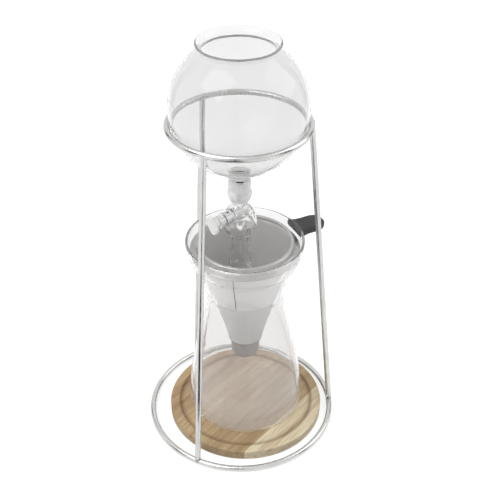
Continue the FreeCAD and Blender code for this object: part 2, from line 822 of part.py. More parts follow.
def collar_inside(level):
    """Inner radius of the carafe's collar at a height, as a formula."""
    wall = carafe_wall
    low = carafe_collar_height + wall * 0.4
    high = carafe_lip_height - wall / 2
    grow = (carafe_lip_radius - carafe_collar_radius) / (high - low)
    return carafe_collar_radius - wall + (level - low) * grow


def filter_rim():
    """Pressed ring: folded top edge, upright band and the flange that seats on glass."""
    sheet_gauge = filter_sheet
    outer = collar_inside(flange_level) - filter_seat_gap
    band = filter_rim_radius
    step = filter_rim_height - filter_rim_drop
    outline = [
        (outer, flange_level),
        (outer, flange_level + sheet_gauge),
        (band, step + sheet_gauge),
        (band, filter_rim_height - sheet_gauge * 0.5),
        Arc(sheet_gauge * 0.5, 1),
        (band - sheet_gauge * 0.5, filter_rim_height),
        (band - filter_rim_width, filter_rim_height),
        (band - filter_rim_width, filter_rim_height - sheet_gauge),
        (band - sheet_gauge, filter_rim_height - sheet_gauge),
        (band - sheet_gauge, step),
    ]
    return on_disc(turned("filter_rim", outline), "filter_rim")


cone_top = filter_rim_height - filter_sheet - filter_lap
mesh_slope = (filter_cone_radius - filter_cone_end_radius) / (cone_top - filter_cone_end_height)


def mesh_radius(level):
    """Outer radius of the woven cone at a height."""
    return filter_cone_end_radius + (level - filter_cone_end_height) * mesh_slope


def filter_mesh():
    """The woven cone, as one thin wall, with its hem under the folded rim."""
    hem = filter_rim_radius - filter_sheet - filter_lap
    outline = [
        (filter_cone_end_radius, filter_cone_end_height),
        (mesh_radius(cone_top - filter_weave), cone_top - filter_weave),
        (hem, cone_top - filter_weave),
        (hem, cone_top),
        (filter_cone_radius - filter_weave, cone_top),
        (filter_cone_end_radius - filter_weave, filter_cone_end_height),
    ]
    return on_disc(turned("filter_mesh", outline), "filter_mesh")


def filter_shell():
    """The plain steel cone outside the upper part of the weave."""
    start = filter_rim_height - filter_rim_drop - filter_lap
    gauge = filter_weave
    hem = filter_rim_radius - filter_sheet
    top_radius = mesh_radius(start) + filter_lap
    low_radius = mesh_radius(filter_shell_end_height) + filter_lap
    outline = [
        (low_radius, filter_shell_end_height),
        (low_radius + gauge, filter_shell_end_height),
        (top_radius + gauge, start - gauge),
        (hem, start - gauge),
        (hem, start),
        (top_radius, start),
    ]
    return on_disc(turned("filter_shell", outline), "filter_shell")


def filter_cup():
    """The drawn cup that closes the tip of the weave."""
    gauge = filter_weave
    level = filter_cone_end_height - filter_lap
    top = filter_cone_end_radius
    deep = filter_cup_end_height
    outline = [
        (0, deep),
        (filter_cup_radius - filter_cup_round, deep),
        Arc(filter_cup_round, 1),
        (filter_cup_radius, deep + filter_cup_round),
        (top - gauge * 0.5, level - gauge * 2),
        (top, level),
        (top - gauge * 2, level),
        (filter_cup_radius - gauge, deep + filter_cup_round),
        Arc(filter_cup_round - gauge, -1),
        (filter_cup_radius - filter_cup_round, deep + gauge),
        (0, deep + gauge),
    ]
    return on_disc(turned("filter_cup", outline), "filter_cup")


stand()
globe()
neck_sleeve()
stem_o_ring()
valve_body()
valve_plug()
plug_seal("plug_o_ring_inner", inner_groove_at)
plug_seal("plug_o_ring_outer", outer_groove_at)
plug_gland()
valve_handle()
wood_disc()
carafe()
handle_grip()
filter_rim()
filter_shell()
filter_mesh()
filter_cup()

doc.recompute()
for thing in doc.Objects:
    if "Invalid" in thing.State or "Error" in thing.State:
        raise RuntimeError("failed: " + thing.Label)
for piece in NODES:
    shape = piece.Shape
    if shape.isNull() or not shape.isValid():
        raise RuntimeError("bad shape: " + piece.Label)
    solids = len(shape.Solids)
    print("%-20s solids %d volume %10.1f" % (piece.Label, solids, shape.Volume))
for piece in NODES:
    piece.Shape.exportStep("parts/" + piece.Label + ".step")
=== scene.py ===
# %% [markdown]
# A cold drip coffee tower: a glass globe of water hangs in a steel rod stand, drips
# through a glass valve into a steel cone filter, and the brew gathers in a waisted
# carafe on a wooden disc. Nearly all of it is round, so most pieces are turned:
# one half outline is drawn and spun about an upright axis.

# %% Load the frame
import math
import bmesh
import bpy
from mathutils import Matrix, Vector


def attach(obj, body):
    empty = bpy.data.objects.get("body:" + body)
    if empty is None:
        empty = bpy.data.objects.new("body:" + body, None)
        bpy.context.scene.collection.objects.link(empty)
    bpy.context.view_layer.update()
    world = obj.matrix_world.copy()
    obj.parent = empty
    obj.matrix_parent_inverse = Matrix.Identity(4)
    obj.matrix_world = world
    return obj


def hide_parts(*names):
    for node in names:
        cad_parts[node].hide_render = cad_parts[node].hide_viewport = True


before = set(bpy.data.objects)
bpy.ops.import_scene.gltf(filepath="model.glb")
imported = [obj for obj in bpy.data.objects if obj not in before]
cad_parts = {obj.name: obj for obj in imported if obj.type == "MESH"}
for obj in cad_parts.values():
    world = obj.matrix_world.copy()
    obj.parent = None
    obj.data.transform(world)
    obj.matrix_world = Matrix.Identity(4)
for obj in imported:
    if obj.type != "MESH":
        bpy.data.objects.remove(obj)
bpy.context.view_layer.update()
MM = 0.001

# %% [markdown]
# The camera stands in front of the tower and above it, and looks down by about 35
# degrees. Its place was worked out from the two hoops of the stand: the ellipses that
# they draw in a picture give both the tilt and the distance. The focal length goes
# with a sensor 36 mm wide.

# %% Camera
CAMERA_TURN = math.radians(-3.0)
CAMERA_DOWN = math.radians(35.147)
CAMERA_SIDE = 10.03 * MM
CAMERA_BACK = 788.0 * MM
CAMERA_HEIGHT = 770.1 * MM
CAMERA_LENS, SENSOR_WIDTH = 68.32, 36.0

camera_data = bpy.data.cameras.new("camera")
camera_data.lens = CAMERA_LENS
camera_data.sensor_width = SENSOR_WIDTH
camera = bpy.data.objects.new("camera", camera_data)
bpy.context.scene.collection.objects.link(camera)
camera.rotation_euler = (math.pi / 2 - CAMERA_DOWN, 0.0, CAMERA_TURN)
turn = Matrix.Rotation(CAMERA_TURN, 3, "Z")
camera.location = turn @ Vector((CAMERA_SIDE, -CAMERA_BACK, CAMERA_HEIGHT))
bpy.context.scene.camera = camera
print("camera at", [round(v, 3) for v in camera.location])

# %% [markdown]
# The room is white all round, and its sky is two skies mixed. What the camera, a
# mirror or glass sees is full white. What lights matt surfaces is softer, so that the
# pieces keep their shading on a white ground. Glass bends a ray many times before it
# leaves, so the limits on bounces are raised. The bright patches that glass throws
# are left out, because they take very many samples.

# %% Sky
SKY_LEVEL = 0.62
GLASS_BOUNCES, MIRROR_BOUNCES = 32, 12
SEEN = ("Camera", "Glossy", "Transmission")

scene = bpy.context.scene
scene.view_settings.view_transform = "Standard"
scene.cycles.max_bounces = GLASS_BOUNCES
scene.cycles.transmission_bounces = GLASS_BOUNCES
scene.cycles.transparent_max_bounces = GLASS_BOUNCES
scene.cycles.glossy_bounces = MIRROR_BOUNCES
scene.cycles.caustics_reflective = False
scene.cycles.caustics_refractive = False


def ray_is(tree, *kinds):
    """A value of 1 for rays of any of the named kinds, and of 0 for all others."""
    path = tree.nodes.new("ShaderNodeLightPath")
    value = path.outputs[f"Is {kinds[0]} Ray"]
    for kind in kinds[1:]:
        larger = tree.nodes.new("ShaderNodeMath")
        larger.operation = "MAXIMUM"
        tree.links.new(value, larger.inputs[0])
        tree.links.new(path.outputs[f"Is {kind} Ray"], larger.inputs[1])
        value = larger.outputs[0]
    return value


def mixed(tree, share, first, second, end):
    """Mixes two shaders by a value, and joins the mix to the output node."""
    mix = tree.nodes.new("ShaderNodeMixShader")
    tree.links.new(share, mix.inputs["Fac"])
    tree.links.new(first.outputs[0], mix.inputs[1])
    tree.links.new(second.outputs[0], mix.inputs[2])
    tree.links.new(mix.outputs[0], end.inputs["Surface"])


world = bpy.data.worlds.new("studio")
world.use_nodes = True
scene.world = world
tree = world.node_tree
tree.nodes.clear()
skies = []
for level in (SKY_LEVEL, 1.0):
    sky = tree.nodes.new("ShaderNodeBackground")
    sky.inputs["Color"].default_value = (1, 1, 1, 1)
    sky.inputs["Strength"].default_value = level
    skies.append(sky)
mixed(tree, ray_is(tree, *SEEN), *skies, tree.nodes.new("ShaderNodeOutputWorld"))
print("skies", len(skies))

# %% [markdown]
# The floor has to look as white as the sky and still carry the tower's soft shadow.
# Where it is seen, a little more than half of it is an even glow and the rest is matt
# paint, which darkens in the shadow. To all other light it's matt paint alone, so the
# glow doesn't light the tower from below. It lies a hair below the hoop's foot.

# %% Floor
FLOOR_WIDTH, FLOOR_LEVEL = 12.0, -0.05 * MM
FLOOR_PAINT = 0.9
GLOW_SHARE, GLOW_STRENGTH = 0.55, 1.37


def new_object(name, mesh):
    """Links a mesh to the scene as an object."""
    piece = bpy.data.objects.new(name, mesh)
    bpy.context.scene.collection.objects.link(piece)
    return piece


def flat_card(name, width, height, lying=False):
    """A rectangle round the origin that faces -Y, or lies flat when asked."""
    mesh = bpy.data.meshes.new(name)
    w, h = width / 2, height / 2
    corners = [(-w, 0, -h), (w, 0, -h), (w, 0, h), (-w, 0, h)]
    mesh.from_pydata(corners, [], [(0, 1, 2, 3)])
    if lying:
        mesh.transform(Matrix.Rotation(-math.pi / 2, 4, "X"))
    return new_object(name, mesh)


def floor_material():
    """Glow and matt paint where it's seen, and matt paint alone for other light."""
    material = bpy.data.materials.new("floor_white")
    material.use_nodes = True
    tree = material.node_tree
    tree.nodes.clear()
    matt = tree.nodes.new("ShaderNodeBsdfDiffuse")
    matt.inputs["Color"].default_value = (FLOOR_PAINT, FLOOR_PAINT, FLOOR_PAINT, 1)
    glow = tree.nodes.new("ShaderNodeEmission")
    glow.inputs["Color"].default_value = (1, 1, 1, 1)
    glow.inputs["Strength"].default_value = GLOW_STRENGTH
    share = tree.nodes.new("ShaderNodeMath")
    share.operation = "MULTIPLY"
    share.inputs[1].default_value = GLOW_SHARE
    tree.links.new(ray_is(tree, *SEEN), share.inputs[0])
    mixed(tree, share.outputs[0], matt, glow, tree.nodes.new("ShaderNodeOutputMaterial"))
    return material


floor = flat_card("floor", FLOOR_WIDTH, FLOOR_WIDTH, lying=True)
floor.location.z = FLOOR_LEVEL
floor.data.materials.append(floor_material())
print("floor width", FLOOR_WIDTH)

# %% [markdown]
# Polished rod and clear glass are drawn by what they mirror, and in a white room they
# would nearly vanish. So black cards stand round the tower, as in a photographer's
# studio, and one lies on the floor in front. They give the rods their grey streaks
# and the glass its edges. Only mirrored rays meet them: the camera, matt light,
# shadows and what is seen through glass all pass them by.

# %% Dark cards
CARD_TONE = 0.02
CARDS = (  # name, width, height, distance, azimuth in degrees, height of the middle
    ("card_front", 0.34, 1.5, 1.6, -8.0, 0.9),
    ("card_left", 0.4, 1.4, 1.2, -74.0, 0.5),
    ("card_right", 0.4, 1.4, 1.2, 68.0, 0.5),
    ("card_back_left", 0.3, 1.4, 1.3, -128.0, 0.5),
    ("card_back_right", 0.3, 1.4, 1.3, 124.0, 0.5),
)
RUNNER_WIDTH, RUNNER_LENGTH = 0.26, 1.3
RUNNER_PLACE = (-0.10, -0.82, 0.2 * MM)

card_black = bpy.data.materials.new("card_black")
card_black.use_nodes = True
shader = card_black.node_tree.nodes["Principled BSDF"]
shader.inputs["Base Color"].default_value = (CARD_TONE, CARD_TONE, CARD_TONE, 1)
shader.inputs["Roughness"].default_value = 1.0
shader.inputs["Specular IOR Level"].default_value = 0.0


def only_mirrored(card):
    """Paints a card black and hides it from all but mirrored rays."""
    card.data.materials.append(card_black)
    card.visible_camera = False
    card.visible_diffuse = False
    card.visible_shadow = False
    card.visible_transmission = False


for name, width, height, away, azimuth, middle in CARDS:
    card = flat_card(name, width, height)
    only_mirrored(card)
    side = math.radians(azimuth)
    card.location = (away * math.sin(side), -away * math.cos(side), middle)
    card.rotation_euler = (0, 0, side)

runner = flat_card("card_runner", RUNNER_WIDTH, RUNNER_LENGTH, lying=True)
only_mirrored(runner)
runner.location = RUNNER_PLACE
print("cards", len(CARDS) + 1)

# %% [markdown]
# Two large, soft lamps light the matt pieces: the stronger one from high on the left,
# and a weaker one from the right, which keeps the shadow side open.

# %% Lamps
LAMP_SIZE = 1.3
LAMP_AIM = Vector((0, 0, 0.2))
LAMPS = (("lamp_top_left", (-0.9, -0.5, 1.7), 16.0), ("lamp_right", (1.3, 0.2, 1.2), 7.0))

for name, spot, watts in LAMPS:
    data = bpy.data.lights.new(name, "AREA")
    data.size = LAMP_SIZE
    data.energy = watts
    lamp = bpy.data.objects.new(name, data)
    bpy.context.scene.collection.objects.link(lamp)
    lamp.location = spot
    lamp.rotation_euler = (LAMP_AIM - Vector(spot)).to_track_quat("-Z", "Y").to_euler()
print("lamps", len(LAMPS))

# %% [markdown]
# Blown and turned pieces are all drawn the same way. A half outline is a list of
# (radius, height) pairs in millimetres. These helpers draw arcs, ease corners with
# short curves, and put points close enough together for smooth shading. A thin wall
# is got by stepping inwards along the outline's own normals, with a half round at
# each open end.

# %% Outlines
NEARLY_STRAIGHT = math.radians(89.6)
SIDE_SHARE = 0.49


def arc_steps(centre, radius, first, last, steps):
    """Points on a circle from one angle to another, in degrees."""
    turns = [math.radians(first + (last - first) * i / steps) for i in range(steps + 1)]
    return [(centre[0] + radius * math.cos(t), centre[1] + radius * math.sin(t)) for t in turns]


def eased(corners, radii, steps=7):
    """Rounds each inner corner of an open line by its own radius, near enough."""
    line = [corners[0]]
    for i in range(1, len(corners) - 1):
        here = Vector(corners[i])
        back = Vector(corners[i - 1]) - here
        ahead = Vector(corners[i + 1]) - here
        radius = radii[i - 1]
        half = back.angle(ahead) / 2
        if radius <= 0 or half > NEARLY_STRAIGHT:
            line.append(tuple(here))
            continue
        reach = min(radius / math.tan(half), back.length * SIDE_SHARE, ahead.length * SIDE_SHARE)
        start = here + back.normalized() * reach
        end = here + ahead.normalized() * reach
        for k in range(steps + 1):
            t = k / steps
            spot = start * (1 - t) ** 2 + here * (2 * t * (1 - t)) + end * t ** 2
            line.append(tuple(spot))
    line.append(corners[-1])
    return line


def finer(line, longest=2.5):
    """Adds points so that no stretch of a line is longer than a length."""
    out = [line[0]]
    for start, end in zip(line, line[1:]):
        gap = math.hypot(end[0] - start[0], end[1] - start[1])
        parts = max(1, math.ceil(gap / longest))
        for k in range(1, parts + 1):
            t = k / parts
            out.append((start[0] + (end[0] - start[0]) * t, start[1] + (end[1] - start[1]) * t))
    return out


def end_round(start, end, outward, steps=6):
    """The points of a half round between the two faces of a wall."""
    middle = (start + end) / 2
    arm = start - middle
    out = outward.normalized() * arm.length
    turns = [math.pi * k / steps for k in range(1, steps)]
    return [tuple(middle + arm * math.cos(t) + out * math.sin(t)) for t in turns]


def walled(line, wall, round_first=True):
    """A closed loop: the line, and the line stepped to its left by the wall."""
    points = [Vector(p) for p in line]
    inner = []
    for i, p in enumerate(points):
        before = points[max(i - 1, 0)]
        after = points[min(i + 1, len(points) - 1)]
        along = (after - before).normalized()
        inner.append(p + Vector((-along.y, along.x)) * wall)
    loop = [tuple(p) for p in points]
    loop += end_round(points[-1], inner[-1], points[-1] - points[-2])
    loop += [tuple(p) for p in reversed(inner)]
    if round_first:
        loop += end_round(inner[0], points[0], points[0] - points[1])
    return [(max(r, 0.0), z) for r, z in loop]


print("outline helpers ready")

# %% [markdown]
# An outline is spun into rings of points, and the rings are joined by faces. A screw
# modifier could do the same; building the rings directly keeps every point on its
# exact radius. Every finished piece is then placed: it gets its finish, the moving
# body that it rides on, and the CAD nodes that it stands for.

# %% Spinning and placing
ON_AXIS = 1e-4


def mesh_from(build, name, smooth=True):
    """Turns a finished bmesh into a mesh."""
    mesh = bpy.data.meshes.new(name)
    build.to_mesh(mesh)
    build.free()
    if smooth:
        mesh.shade_smooth()
    return mesh


def spun(name, loop, segments=144, closed=True):
    """Spins an outline in millimetres about the upright axis into a smooth mesh."""
    build = bmesh.new()
    rows = []
    for radius, height in loop:
        if radius < ON_AXIS:
            rows.append([build.verts.new((0, 0, height * MM))])
            continue
        turns = [2 * math.pi * k / segments for k in range(segments)]
        rows.append([build.verts.new((radius * MM * math.cos(t), radius * MM * math.sin(t),
                                      height * MM)) for t in turns])
    pairs = list(zip(rows, rows[1:]))
    if closed:
        pairs.append((rows[-1], rows[0]))
    for low, high in pairs:
        if len(low) == 1 and len(high) == 1:
            continue
        for k in range(segments):
            j = (k + 1) % segments
            if len(low) == 1:
                build.faces.new((low[0], high[j], high[k]))
            elif len(high) == 1:
                build.faces.new((low[k], low[j], high[0]))
            else:
                build.faces.new((low[k], low[j], high[j], high[k]))
    bmesh.ops.recalc_face_normals(build, faces=build.faces)
    return new_object(name, mesh_from(build, name))


def lofted(name, rows, smooth=True):
    """A skin over rings of (x, y, z) points in millimetres, closed at both ends."""
    build = bmesh.new()
    rings = [[build.verts.new((x * MM, y * MM, z * MM)) for x, y, z in row] for row in rows]
    for low, high in zip(rings, rings[1:]):
        for k in range(len(low)):
            j = (k + 1) % len(low)
            build.faces.new((low[k], low[j], high[j], high[k]))
    build.faces.new(rings[0])
    build.faces.new(rings[-1])
    bmesh.ops.recalc_face_normals(build, faces=build.faces)
    return new_object(name, mesh_from(build, name, smooth))


def shift_by(piece, x):
    """Moves a piece's mesh along X, in millimetres."""
    piece.data.transform(Matrix.Translation((x * MM, 0, 0)))


def place(piece, body, slot, material, *nodes):
    """Gives a piece its finish, its moving body and the CAD nodes that it stands for."""
    piece.data.materials.clear()
    piece.data.materials.append(material)
    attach(piece, body)
    if nodes:
        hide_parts(*nodes)
    return piece


print("spinning and placing ready")

# %% [markdown]
# Every finish starts the same way: one helper makes a material and hands it back with
# its node tree and its main shader. The others add a texture, a colour ramp, a change
# of range, a bump or an uneven gloss in one line each. A noise texture seldom leaves
# the middle of its range, so 0.3 to 0.7 is what gets spread over the roughness.

# %% Material helpers
NOISE_LOW, NOISE_HIGH = 0.3, 0.7


def finish_of(name, colour, roughness, metal=0.0):
    """A new material with its main shader set to plain values."""
    material = bpy.data.materials.new(name)
    material.use_nodes = True
    shader = material.node_tree.nodes["Principled BSDF"]
    shader.inputs["Base Color"].default_value = (*colour, 1)
    shader.inputs["Roughness"].default_value = roughness
    shader.inputs["Metallic"].default_value = metal
    return material, material.node_tree, shader


def object_place(tree, scale=(1, 1, 1), turn=(0, 0, 0)):
    """Object coordinates, scaled and then turned."""
    where = tree.nodes.new("ShaderNodeTexCoord")
    mapping = tree.nodes.new("ShaderNodeMapping")
    mapping.inputs["Scale"].default_value = scale
    mapping.inputs["Rotation"].default_value = turn
    tree.links.new(where.outputs["Object"], mapping.inputs["Vector"])
    return mapping.outputs["Vector"]


def noise_at(tree, vector, scale, detail=4.0, rough=0.5):
    """A noise texture's value at a vector."""
    noise = tree.nodes.new("ShaderNodeTexNoise")
    noise.inputs["Scale"].default_value = scale
    noise.inputs["Detail"].default_value = detail
    noise.inputs["Roughness"].default_value = rough
    tree.links.new(vector, noise.inputs["Vector"])
    return noise.outputs["Fac"]


def bands_at(tree, vector, direction, scale):
    """A wave texture's value: even bands along one direction."""
    wave = tree.nodes.new("ShaderNodeTexWave")
    wave.bands_direction = direction
    wave.inputs["Scale"].default_value = scale
    tree.links.new(vector, wave.inputs["Vector"])
    return wave.outputs["Fac"]


def ramp_of(tree, value, stops):
    """A colour ramp with (position, colour) stops."""
    ramp = tree.nodes.new("ShaderNodeValToRGB")
    bar = ramp.color_ramp
    while len(bar.elements) < len(stops):
        bar.elements.new(0.5)
    for element, (position, colour) in zip(bar.elements, stops):
        element.position = position
        element.color = (*colour, 1)
    tree.links.new(value, ramp.inputs["Fac"])
    return ramp.outputs["Color"]


def span_of(tree, value, low, high, new_low, new_high):
    """Maps a value from one range to another."""
    span = tree.nodes.new("ShaderNodeMapRange")
    for name, number in (("From Min", low), ("From Max", high),
                         ("To Min", new_low), ("To Max", new_high)):
        span.inputs[name].default_value = number
    tree.links.new(value, span.inputs["Value"])
    return span.outputs["Result"]


def uneven_gloss(tree, shader, noise, smooth, rough):
    """Lets a noise choose the roughness between two values."""
    span = span_of(tree, noise, NOISE_LOW, NOISE_HIGH, smooth, rough)
    tree.links.new(span, shader.inputs["Roughness"])


def bump_from(tree, shader, height, distance, strength):
    """Drives the shader's normal with a height value; distance in millimetres."""
    bump = tree.nodes.new("ShaderNodeBump")
    bump.inputs["Distance"].default_value = distance * MM
    bump.inputs["Strength"].default_value = strength
    tree.links.new(height, bump.inputs["Height"])
    tree.links.new(bump.outputs["Normal"], shader.inputs["Normal"])


print("material helpers ready")

# %% [markdown]
# Lamp light should fall through clear glass, or everything behind it would stand in
# deep shade. Real glass lets it through as bright patches, which take many samples.
# A common way round is to treat glass as plain clear film for shadow and diffuse
# rays, and as bending glass for what the camera, mirrors and other glass see.
#
# The globe and the flask get a low index, for pale rims, and are a very little milky.
# The valve's glass bends more and has gentle ripples, as thick blown glass does. The
# silicone is the same again, frosted and milkier.

# %% Glass and silicone
RIPPLE_SCALE, RIPPLE_HEIGHT, RIPPLE_STRENGTH = 120.0, 3.0, 0.7


def clear_finish(name, colour, passed, clear, index, roughness=0.0):
    """Keeps its bending for the eye and lets a share of the lamp light through."""
    material, tree, shader = finish_of(name, colour, roughness)
    shader.inputs["Transmission Weight"].default_value = clear
    shader.inputs["IOR"].default_value = index
    film = tree.nodes.new("ShaderNodeBsdfTransparent")
    film.inputs["Color"].default_value = (passed, passed, passed, 1)
    mixed(tree, ray_is(tree, "Shadow", "Diffuse"), shader, film, tree.nodes["Material Output"])
    return material, tree, shader


globe_glass, _, _ = clear_finish("globe_glass", (0.86, 0.86, 0.86), 0.98, 0.94, 1.22)
flask_glass, _, _ = clear_finish("flask_glass", (0.91, 0.905, 0.905), 0.985, 0.92, 1.28)
valve_glass, tree, shader = clear_finish("valve_glass", (0.95, 0.95, 0.95), 0.93, 1.0, 1.6)
ripple = noise_at(tree, object_place(tree, (1, 1, 0.5)), RIPPLE_SCALE, 1.0)
bump_from(tree, shader, ripple, RIPPLE_HEIGHT, RIPPLE_STRENGTH)
frosted_silicone, _, _ = clear_finish("frosted_silicone", (0.92, 0.92, 0.92), 0.9, 0.75, 1.41, 0.3)
print("clear finishes", *(glass.name for glass in (globe_glass, flask_glass, valve_glass)))

# %% [markdown]
# The globe is a glass sphere blown in one with a flared mouth on top and a drawn
# stem below. From the bottom up, its outline is the stem, a funnel that widens by a
# small arc, the sphere's own large arc, a drawn-in neck and the flared rim. A few
# degrees of the large arc are left open at each end for the blends.

# %% Globe
GLOBE_RADIUS, GLOBE_WALL, GLOBE_CENTRE = 66.2, 2.2, 375.96
MOUTH_NECK, MOUTH_RADIUS, MOUTH_RISE = 35.0, 39.1, 5.5
THROAT_OUT, THROAT_RISE = 0.6, 2.6
STEM_RADIUS, STEM_END = 8.0, 291.76
FUNNEL = 9.0
FUNNEL_GAP, NECK_GAP = 1.5, 3.0


def globe_outline():
    """The outside of the globe from the stem's end to the mouth's rim."""
    ring = STEM_RADIUS + FUNNEL
    drop = math.sqrt(GLOBE_RADIUS ** 2 - ring ** 2)
    lift = math.sqrt(GLOBE_RADIUS ** 2 - MOUTH_NECK ** 2)
    funnel_foot = GLOBE_CENTRE - drop - FUNNEL
    line = finer([(STEM_RADIUS, STEM_END), (STEM_RADIUS, funnel_foot)])
    line += arc_steps((ring, funnel_foot), FUNNEL, 180, 105, 10)[1:]
    first = math.degrees(math.atan2(-drop, ring)) + FUNNEL_GAP
    last = math.degrees(math.atan2(lift, MOUTH_NECK)) - NECK_GAP
    line += arc_steps((0, GLOBE_CENTRE), GLOBE_RADIUS, first, last, 96)
    neck = (MOUTH_NECK, GLOBE_CENTRE + lift)
    throat = (neck[0] + THROAT_OUT, neck[1] + THROAT_RISE)
    rim = (MOUTH_RADIUS, neck[1] + MOUTH_RISE)
    return line + eased([line[-1], neck, throat, rim], [5.0, 3.5])[1:]


globe_line = globe_outline()
globe = spun("globe_glass_body", walled(globe_line, GLOBE_WALL), 192)
place(globe, "globe_unit", "clear_glass", globe_glass, "globe")
print("globe points", len(globe_line))

# %% [markdown]
# The carafe was blown in one: a flask that draws in to a waist, and then opens into a
# smooth bowl with a fire-polished lip. The base is a little pushed up in the middle,
# so the flask stands on a ring. The disc lies loose in the stand, and so the disc,
# the carafe and the filter are all a little off the stand's axis.

# %% Carafe
SHIFT = 5.0
CARAFE_FLOOR = 10.4
CARAFE_WALL = 2.6
BASE_RISE = ((0.0, 1.6), (30.0, 1.2), (47.0, 0.1))
BASE_EASE = 20
HEEL_MIDDLE, HEEL_ROUND = 50.2, 12.0
CARAFE_SIDE = [
    (62.2, 24.4), (61.6, 40.0), (58.9, 62.0), (54.6, 86.0), (49.0, 112.0),
    (43.2, 136.0), (39.6, 156.0), (39.8, 163.5), (43.4, 175.0), (51.2, 200.4),
]
CARAFE_EASE = [60, 60, 60, 60, 60, 30, 6, 9]
BOWL_CENTRE, BOWL_CURVE = (15.9, 227.7), 44.5
BOWL_FROM, BOWL_TO = -34.0, 0.5


def carafe_outline():
    """The outside of the carafe from the middle of its base to its lip."""
    base = eased([(radius, CARAFE_FLOOR + rise) for radius, rise in BASE_RISE], [BASE_EASE])
    heel = arc_steps((HEEL_MIDDLE, CARAFE_FLOOR + HEEL_ROUND), HEEL_ROUND, 270, 352, 12)
    side = eased(CARAFE_SIDE, CARAFE_EASE)
    bowl = arc_steps(BOWL_CENTRE, BOWL_CURVE, BOWL_FROM, BOWL_TO, 20)
    return finer(base + heel, 3.0) + finer(side + bowl, 3.0)


carafe_line = carafe_outline()
carafe = spun("carafe_glass_body", walled(carafe_line, CARAFE_WALL, round_first=False), 192)
shift_by(carafe, SHIFT)
place(carafe, "carafe_unit", "clear_glass", flask_glass, "carafe")
print("carafe points", len(carafe_line))

# %% [markdown]
# A glass ear stands out from the carafe's lip, and the soft grip is pulled over it.
# It is a flat tongue with a round end, so it is drawn in plan and given thickness,
# with its edges melted round by a bevel. Its root is sunk into the carafe's wall.

# %% Carafe ear
HANDLE_TURN = math.radians(24.5)
LIP_RADIUS = 60.4
EAR_LENGTH, EAR_HALF, EAR_THICK = 24.0, 7.5, 3.6
EAR_LEVEL, EAR_SUNK, EAR_SOFT = 223.4, 1.6, 0.8
SAME_LEVEL = 1e-7


def slab(name, plan, low, high, soft):
    """A flat piece: a plan outline in millimetres, given thickness and soft edges."""
    build = bmesh.new()
    ring = [build.verts.new((x * MM, y * MM, low * MM)) for x, y in plan]
    build.faces.new(ring)
    made = bmesh.ops.extrude_face_region(build, geom=build.faces[:])
    for item in made["geom"]:
        if isinstance(item, bmesh.types.BMVert):
            item.co.z = high * MM
    bmesh.ops.recalc_face_normals(build, faces=build.faces)
    rims = [edge for edge in build.edges
            if abs(edge.verts[0].co.z - edge.verts[1].co.z) < SAME_LEVEL]
    bmesh.ops.bevel(build, geom=rims, offset=soft * MM, segments=3,
                    profile=0.5, affect="EDGES")
    return new_object(name, mesh_from(build, name))


def to_handle(piece):
    """Turns a piece drawn along +X to the handle's side and onto the carafe's axis."""
    piece.data.transform(Matrix.Translation((SHIFT * MM, 0, 0))
                         @ Matrix.Rotation(HANDLE_TURN, 4, "Z"))
    return piece


ear_root = LIP_RADIUS - EAR_SUNK
ear_tail = LIP_RADIUS + EAR_LENGTH - EAR_HALF
ear_plan = [(ear_root, -EAR_HALF)]
ear_plan += arc_steps((ear_tail, 0), EAR_HALF, -90, 90, 24)
ear_plan += [(ear_root, EAR_HALF)]
ear = to_handle(slab("carafe_ear", ear_plan, EAR_LEVEL - EAR_THICK / 2,
                     EAR_LEVEL + EAR_THICK / 2, EAR_SOFT))
place(ear, "carafe_unit", "clear_glass", flask_glass)
print("ear points", len(ear_plan))

# %% [markdown]
# The grip is a soft moulding, flared where it hugs the lip and round at its tail,
# with fine ribs on top for the thumb. It is lofted: the same rounded section is set
# at many stations along its length, each as wide as the plan is there. The stations
# stand closest at both ends, where the plan turns fastest.

# %% Grip
GRIP_LENGTH, GRIP_THICK = 31.0, 8.6
GRIP_HALF, GRIP_FLARE, FLARE_RUN = 11.5, 15.0, 9.3
GRIP_GAP, HUG_RUN = 0.1, 8.0
SIDE_POWER, CROWN_POWER = 0.34, 0.55
TAIL_THIN = 1.02
RIB_FIRST, RIB_LAST = 5.0, 26.0
RIB_HEIGHT, RIB_PITCH, RIB_ABOVE = 0.16, 1.5, 0.36
STATIONS = 56


def grip_half_width(along):
    """Half the grip's width at a distance from the lip."""
    if along < FLARE_RUN:
        t = 1 - along / FLARE_RUN
        return GRIP_HALF + (GRIP_FLARE - GRIP_HALF) * t ** 2
    tail = GRIP_LENGTH - GRIP_HALF
    if along > tail:
        return math.sqrt(max(GRIP_HALF ** 2 - (along - tail) ** 2, 0.01))
    return GRIP_HALF


def grip_section(half, count=72):
    """A flat section with round sides, as (across, up) pairs."""
    points = []
    for k in range(count):
        t = 2 * math.pi * k / count
        c, s = math.cos(t), math.sin(t)
        across = half * math.copysign(abs(c) ** SIDE_POWER, c)
        up = GRIP_THICK / 2 * math.copysign(abs(s) ** CROWN_POWER, s)
        points.append((across, up))
    return points


def grip_rows():
    """The grip's sections, drawn along +X with the carafe's axis at the origin."""
    rows = []
    lip = LIP_RADIUS + GRIP_GAP
    for k in range(STATIONS + 1):
        along = GRIP_LENGTH * (1 - math.cos(math.pi * k / STATIONS)) / 2
        half = grip_half_width(along)
        thin = min(1.0, math.sqrt(half / GRIP_HALF) * TAIL_THIN)
        hug = max(0.0, 1 - along / HUG_RUN)
        row = []
        for across, up in grip_section(half):
            x = lip + along - hug * (lip - math.sqrt(lip ** 2 - across ** 2))
            rib = 0.0
            if up > GRIP_THICK * RIB_ABOVE and RIB_FIRST < along < RIB_LAST:
                rib = RIB_HEIGHT * math.cos(across * 2 * math.pi / RIB_PITCH)
            row.append((x, across, EAR_LEVEL + up * thin + rib))
        rows.append(row)
    return rows


